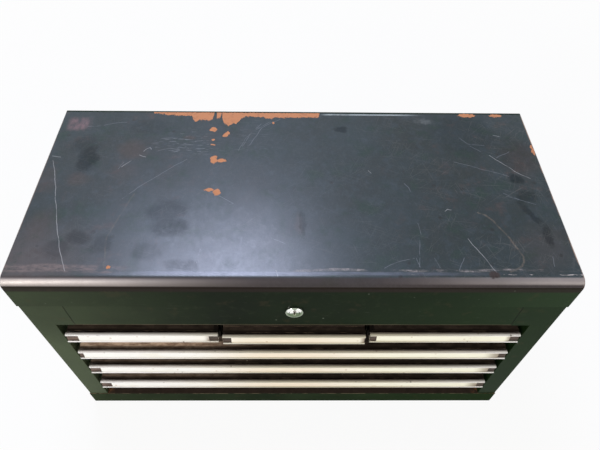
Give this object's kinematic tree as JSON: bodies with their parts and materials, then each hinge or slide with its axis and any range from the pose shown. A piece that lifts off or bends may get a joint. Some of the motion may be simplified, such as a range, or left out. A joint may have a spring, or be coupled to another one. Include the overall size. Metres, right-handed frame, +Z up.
{
  "type": "machinist tool chest",
  "caption": "Bench-top machinist tool chest of folded steel with a hinged lid over a till, drawers with full-width aluminium pulls, a front lock and side carrying handles.",
  "frame": {"origin": "middle of the flat underside of the bottom pan", "axes": "+X to the right seen from the front, +Y to the back, +Z up"},
  "size_m": [0.683, 0.3063, 0.373],
  "materials": {
    "case_paint": "worn semi-gloss enamel",
    "tray_paint": "satin enamel",
    "pull_aluminium": "dull, dusty aluminium",
    "label_white": "aged white",
    "lock_chrome": "bright, slightly worn",
    "plated_steel": "zinc plated",
    "handle_steel": "nickel plated, worn"
  },
  "bodies": {
    "case": {"back_panel": "case_paint", "bottom_pan": "case_paint", "bottom_row_runners": "plated_steel", "case_rivets": "plated_steel", "front_top_rail": "case_paint", "hinge_lower_leaf": "plated_steel", "hinge_pin": "plated_steel", "left_divider": "case_paint", "left_front_upright": "case_paint", "left_handle_bracket": "handle_steel", "left_rear_upright": "case_paint", "left_side_panel": "case_paint", "lock_body": "lock_chrome", "lock_nut": "plated_steel", "right_divider": "case_paint", "right_front_upright": "case_paint", "right_handle_bracket": "handle_steel", "right_rear_upright": "case_paint", "right_side_panel": "case_paint", "second_row_runners": "plated_steel", "stay_guide_pins": "plated_steel", "third_row_runners": "plated_steel", "till_floor": "case_paint", "top_row_runners": "plated_steel"},
    "lid": {"lid_shell": "case_paint", "hinge_upper_leaf": "plated_steel", "hinge_upper_rivets": "plated_steel", "lid_strike": "plated_steel", "stay_pivot_pins": "plated_steel"},
    "left_stay": {"left_lid_stay": "plated_steel"},
    "right_stay": {"right_lid_stay": "plated_steel"},
    "plug": {"lock_plug": "lock_chrome", "lock_cam": "plated_steel", "cam_screw": "plated_steel"},
    "left_bail": {"left_handle_bail": "handle_steel"},
    "right_bail": {"right_handle_bail": "handle_steel"},
    "left_top_drawer": {"left_top_drawer_tray": "tray_paint", "left_top_drawer_front": "case_paint", "left_top_drawer_pull": "pull_aluminium", "left_top_drawer_label": "label_white"},
    "middle_top_drawer": {"middle_top_drawer_tray": "tray_paint", "middle_top_drawer_front": "case_paint", "middle_top_drawer_pull": "pull_aluminium", "middle_top_drawer_label": "label_white"},
    "right_top_drawer": {"right_top_drawer_tray": "tray_paint", "right_top_drawer_front": "case_paint", "right_top_drawer_pull": "pull_aluminium", "right_top_drawer_label": "label_white"},
    "second_drawer": {"second_drawer_tray": "tray_paint", "second_drawer_front": "case_paint", "second_drawer_pull": "pull_aluminium", "second_drawer_label": "label_white"},
    "third_drawer": {"third_drawer_tray": "tray_paint", "third_drawer_front": "case_paint", "third_drawer_pull": "pull_aluminium", "third_drawer_label": "label_white"},
    "bottom_drawer": {"bottom_drawer_tray": "tray_paint", "bottom_drawer_front": "case_paint", "bottom_drawer_pull": "pull_aluminium", "bottom_drawer_label": "label_white"}
  },
  "joints": [
    {"name": "lid_hinge", "type": "hinge", "parent": "case", "child": "lid", "pos_m": [0, 0.1483, 0.321], "axis": [-1, 0, 0], "range_deg": [0, 100]},
    {"name": "left_stay_pivot", "type": "hinge", "parent": "lid", "child": "left_stay", "pos_m": [-0.3225, 0.08122, 0.341], "axis": [-1, 0, 0], "range_deg": [-50, 0]},
    {"name": "left_bail_swing", "type": "hinge", "parent": "case", "child": "left_bail", "pos_m": [-0.3355, 0, 0.215], "axis": [0, 1, 0], "range_deg": [0, 90]},
    {"name": "right_stay_pivot", "type": "hinge", "parent": "lid", "child": "right_stay", "pos_m": [0.3225, 0.08122, 0.341], "axis": [-1, 0, 0], "range_deg": [-50, 0]},
    {"name": "right_bail_swing", "type": "hinge", "parent": "case", "child": "right_bail", "pos_m": [0.3355, 0, 0.215], "axis": [0, -1, 0], "range_deg": [0, 90]},
    {"name": "lock_turn", "type": "hinge", "parent": "case", "child": "plug", "pos_m": [0, -0.1455, 0.31], "axis": [0, 1, 0], "range_deg": [0, 90]},
    {"name": "left_top_drawer_slide", "type": "slide", "parent": "case", "child": "left_top_drawer", "axis": [0, -1, 0], "range_m": [0, 0.22]},
    {"name": "middle_top_drawer_slide", "type": "slide", "parent": "case", "child": "middle_top_drawer", "axis": [0, -1, 0], "range_m": [-0.0025, 0.2175]},
    {"name": "right_top_drawer_slide", "type": "slide", "parent": "case", "child": "right_top_drawer", "axis": [0, -1, 0], "range_m": [0, 0.22]},
    {"name": "second_drawer_slide", "type": "slide", "parent": "case", "child": "second_drawer", "axis": [0, -1, 0], "range_m": [0, 0.22]},
    {"name": "third_drawer_slide", "type": "slide", "parent": "case", "child": "third_drawer", "axis": [0, -1, 0], "range_m": [0, 0.22]},
    {"name": "bottom_drawer_slide", "type": "slide", "parent": "case", "child": "bottom_drawer", "axis": [0, -1, 0], "range_m": [0, 0.22]}
  ],
  "couplings": [
    {"joint": "left_stay_pivot", "follows": "lid_hinge", "ratio": -0.5},
    {"joint": "right_stay_pivot", "follows": "lid_hinge", "ratio": -0.5}
  ]
}
